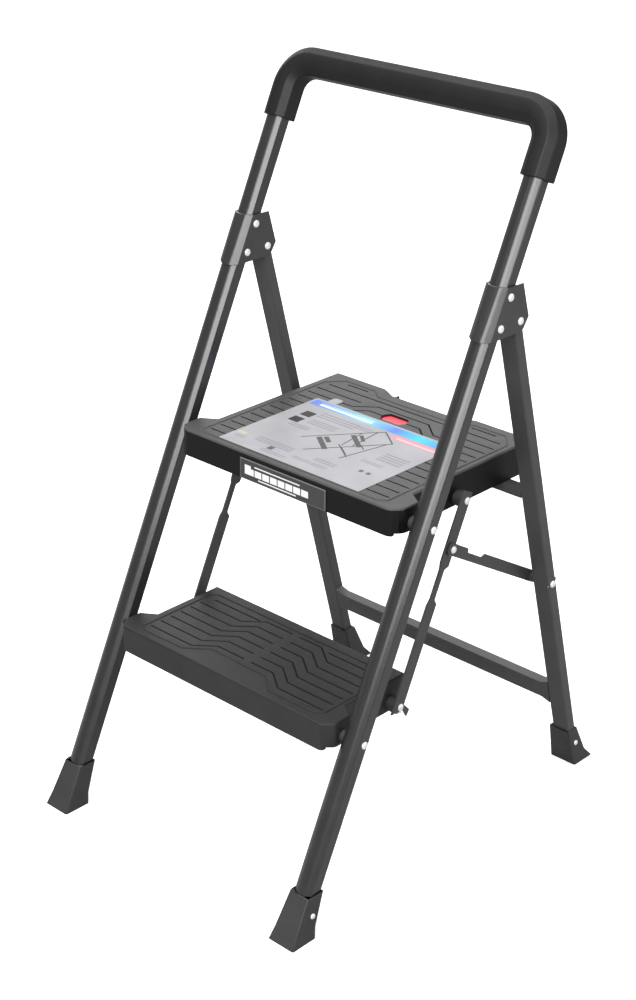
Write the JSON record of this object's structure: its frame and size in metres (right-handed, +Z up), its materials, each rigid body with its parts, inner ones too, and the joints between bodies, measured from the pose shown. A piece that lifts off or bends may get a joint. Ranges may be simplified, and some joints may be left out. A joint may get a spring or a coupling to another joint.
{
  "type": "folding two-step stool",
  "caption": "Folding step stool with flat treads on a leaning front frame, a high handrail with a moulded grip, hinged rear legs, rubber boots and a push-button latch.",
  "frame": {"origin": "on the floor, in the middle of the footprint of the four feet", "axes": "+Z up, +Y from the front of the stool to its rear legs, +X to the right seen from the front"},
  "size_m": [0.429, 0.5646, 0.8841],
  "materials": {
    "frame_black": "semi-gloss black powder coat",
    "grip_plastic": "matt black moulded plastic",
    "bracket_plastic": "satin dark grey moulded plastic",
    "rear_frame_grey": "satin dark grey powder coat",
    "boot_rubber": "satin black rubber",
    "step_plastic": "matt charcoal plastic with a fine grain",
    "rivet_steel": "bright plated steel",
    "bush_plastic": "matt dark plastic",
    "button_red": "satin red plastic",
    "latch_plastic": "matt black plastic",
    "spring_steel": "drawn wire",
    "label_print": "printed plastic film",
    "badge_plate": "dark printed plastic plate"
  },
  "bodies": {
    "front_frame": {"upright_left": "frame_black", "upright_right": "frame_black", "handrail_hoop": "frame_black", "handrail_grip": "grip_plastic", "hinge_bracket_left": "bracket_plastic", "hinge_bracket_right": "bracket_plastic", "bracket_rivets": "rivet_steel", "hinge_pivot_rivets": "rivet_steel", "front_foot_left": "boot_rubber", "front_foot_right": "boot_rubber", "front_foot_rivets": "rivet_steel", "step_pivot_rivets": "rivet_steel", "step_pivot_bushes": "bush_plastic"},
    "rear_frame": {"rear_leg_left": "rear_frame_grey", "rear_leg_right": "rear_frame_grey", "rear_upper_crossbar": "rear_frame_grey", "rear_lower_crossbar": "rear_frame_grey", "rear_foot_left": "boot_rubber", "rear_foot_right": "boot_rubber", "rear_foot_rivets": "rivet_steel", "spreader_bushes": "bush_plastic", "spreader_rear_rivets": "rivet_steel"},
    "top_step": {"top_step_tread": "step_plastic", "front_badge": "badge_plate", "step_label": "label_print", "top_link_spacers": "bush_plastic", "top_link_rivets": "rivet_steel", "latch_housing": "latch_plastic", "latch_pin": "rivet_steel", "latch_spring": "spring_steel"},
    "latch_button": {"latch_button": "button_red"},
    "latch_rocker": {"latch_rocker": "button_red"},
    "lower_step": {"lower_step_tread": "step_plastic", "lower_link_spacers": "bush_plastic", "lower_link_rivets": "rivet_steel"},
    "link_bars": {"link_bar_left": "rear_frame_grey", "link_bar_right": "rear_frame_grey", "spreader_front_rivets": "rivet_steel"},
    "spreaders": {"spreader_left": "rear_frame_grey", "spreader_right": "rear_frame_grey", "spreader_end_rivets": "rivet_steel"}
  },
  "joints": [
    {"name": "top_step_fold", "type": "hinge", "parent": "front_frame", "child": "top_step", "pos_m": [0, -0.05258, 0.4405], "axis": [1, 0, 0], "range_deg": [0, 58]},
    {"name": "rear_frame_fold", "type": "hinge", "parent": "front_frame", "child": "rear_frame", "pos_m": [0, 0.08167, 0.65003], "axis": [1, 0, 0], "range_deg": [-34.7, 0]},
    {"name": "lower_step_fold", "type": "hinge", "parent": "front_frame", "child": "lower_step", "pos_m": [0, -0.16075, 0.2127], "axis": [1, 0, 0], "range_deg": [0, 58.2]},
    {"name": "link_bar_swing", "type": "hinge", "parent": "top_step", "child": "link_bars", "pos_m": [0, 0.04892, 0.4309], "axis": [1, 0, 0], "range_deg": [-58.2, 0]},
    {"name": "spreader_swing", "type": "hinge", "parent": "link_bars", "child": "spreaders", "pos_m": [0, 0.02387, 0.37815], "axis": [1, 0, 0], "range_deg": [-68.96, 0]},
    {"name": "latch_button_press", "type": "slide", "parent": "top_step", "child": "latch_button", "axis": [0, 0, -1], "range_m": [0, 0.005], "stiffness_N_per_m": 400, "springref_m": -0.002, "deforming": ["latch_spring"]},
    {"name": "latch_rocker_swing", "type": "hinge", "parent": "top_step", "child": "latch_rocker", "pos_m": [0, 0.13412, 0.4432], "axis": [1, 0, 0], "range_deg": [0, 18.4]}
  ],
  "couplings": [
    {"joint": "rear_frame_fold", "follows": "top_step_fold", "ratio": -0.5948},
    {"joint": "lower_step_fold", "follows": "top_step_fold", "ratio": 1},
    {"joint": "link_bar_swing", "follows": "top_step_fold", "ratio": -1},
    {"joint": "spreader_swing", "follows": "top_step_fold", "ratio": -1.1855},
    {"joint": "latch_rocker_swing", "follows": "latch_button_press", "rad_per_m": 63.541}
  ]
}
